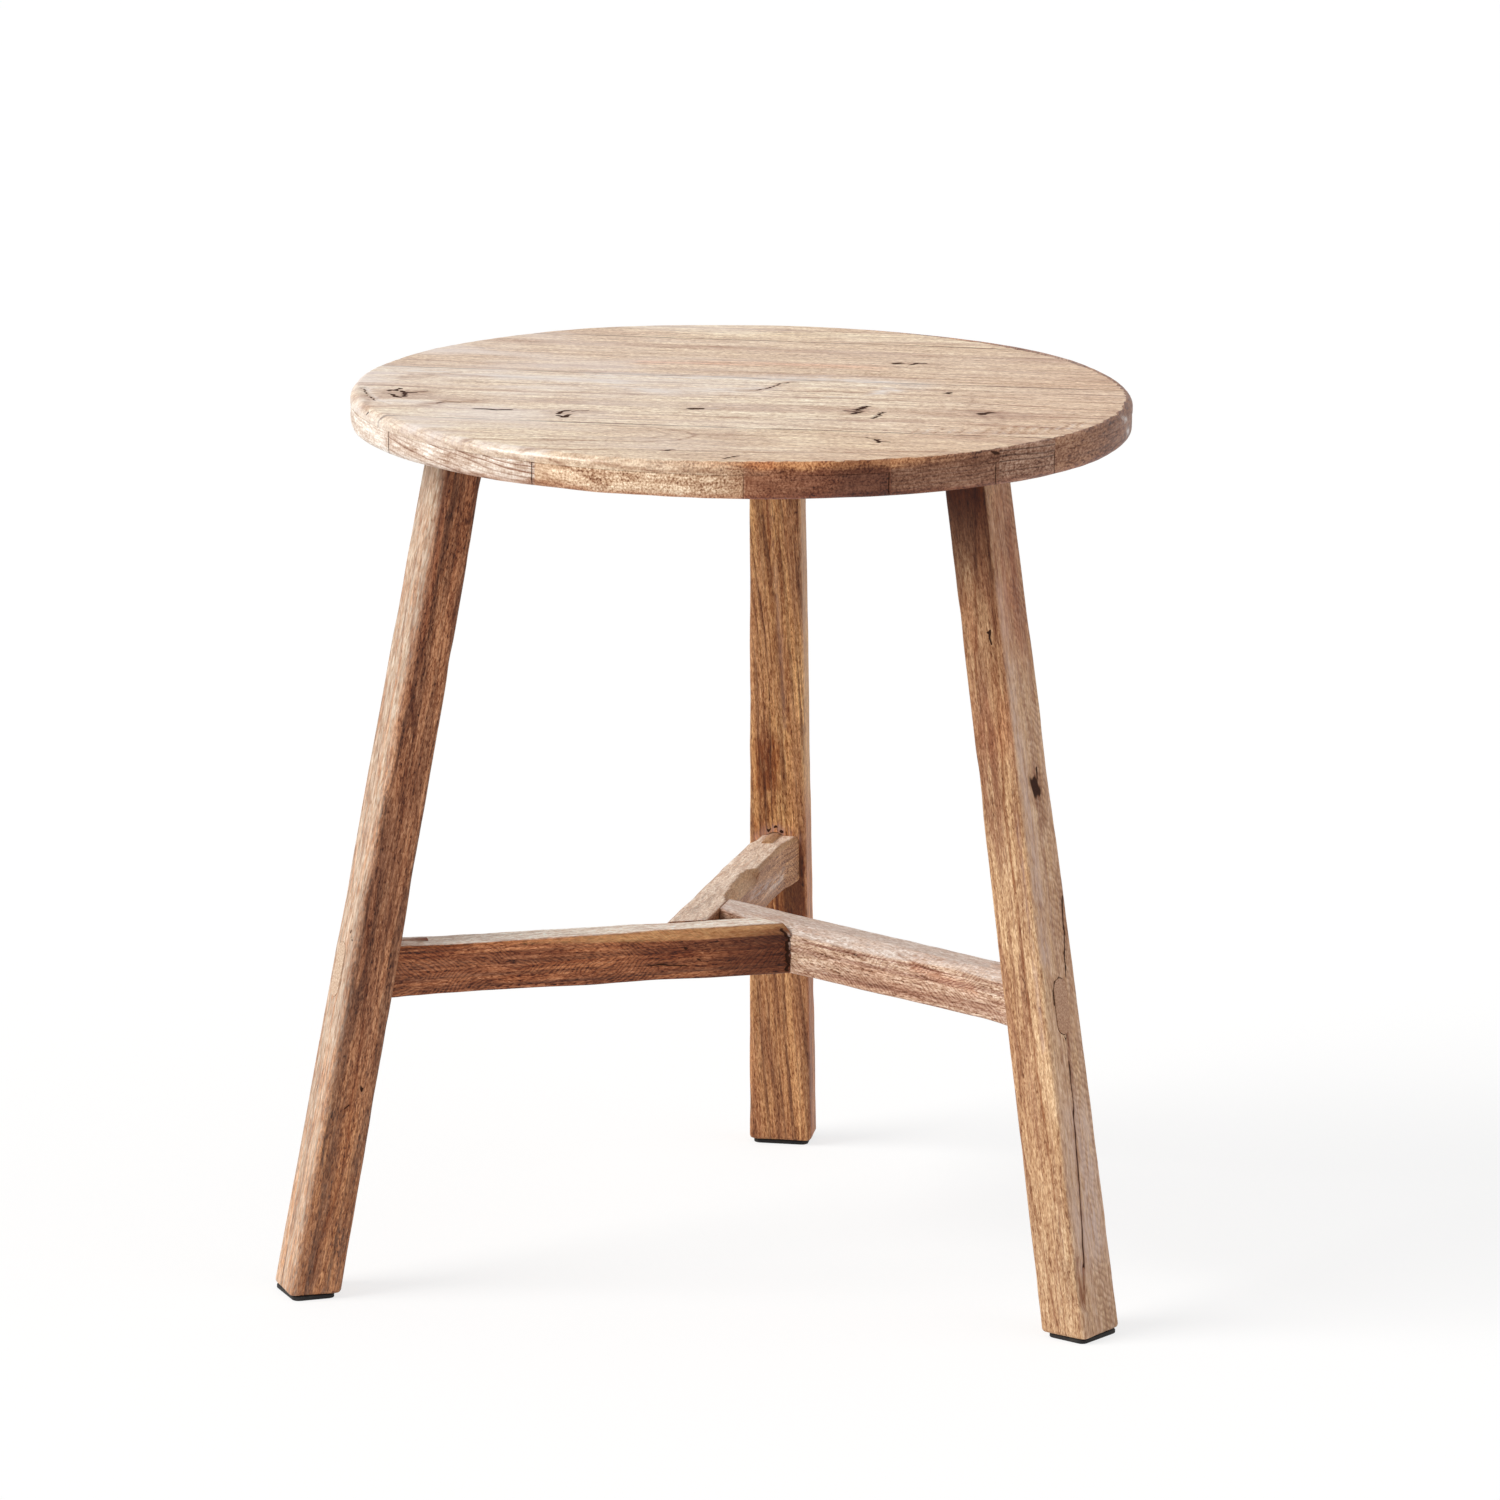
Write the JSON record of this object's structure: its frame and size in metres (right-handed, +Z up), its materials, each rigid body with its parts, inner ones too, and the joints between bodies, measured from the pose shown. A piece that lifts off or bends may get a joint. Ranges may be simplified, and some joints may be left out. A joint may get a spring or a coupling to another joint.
{
  "type": "round side table",
  "caption": "Low round side table: a planked top glued over a crosswise second layer, on tapered splayed legs, locked by a pinwheel of rails whose round-ended tenons show through the legs.",
  "frame": {"origin": "on the floor, at the middle of the bounding box", "axes": "+Z up, square to the tabletop; the back leg stands towards +Y, and the other legs towards -X -Y and +X -Y"},
  "size_m": [0.5378, 0.5511, 0.567],
  "materials": {
    "pale_elm": "pale waxed elm, worn smooth, with knots, cracks and a slight gloss on the rounded rim",
    "brown_elm": "darker oiled elm, end grain and long grain showing on the rim",
    "tan_elm": "tan oiled elm with worn corners, growth lines and drying cracks",
    "red_brown_elm": "reddish brown oiled elm with saw marks and paler worn corners",
    "pale_dowel": "plain turned hardwood, hidden in the joint",
    "black_rubber": "matte black rubber"
  },
  "bodies": {
    "root": {"top_board_front": "pale_elm", "top_board_front_middle": "pale_elm", "top_board_back_middle": "pale_elm", "top_board_back": "pale_elm", "under_board_1": "brown_elm", "under_board_2": "brown_elm", "under_board_3": "brown_elm", "under_board_4": "brown_elm", "under_board_5": "brown_elm", "under_board_6": "brown_elm", "under_board_7": "brown_elm", "leg_back": "tan_elm", "leg_left": "tan_elm", "leg_right": "tan_elm", "rail_back": "red_brown_elm", "rail_left": "red_brown_elm", "rail_right": "red_brown_elm", "rail_dowel_back": "pale_dowel", "rail_dowel_left": "pale_dowel", "rail_dowel_right": "pale_dowel", "glide_back": "black_rubber", "glide_left": "black_rubber", "glide_right": "black_rubber"}
  },
  "joints": []
}
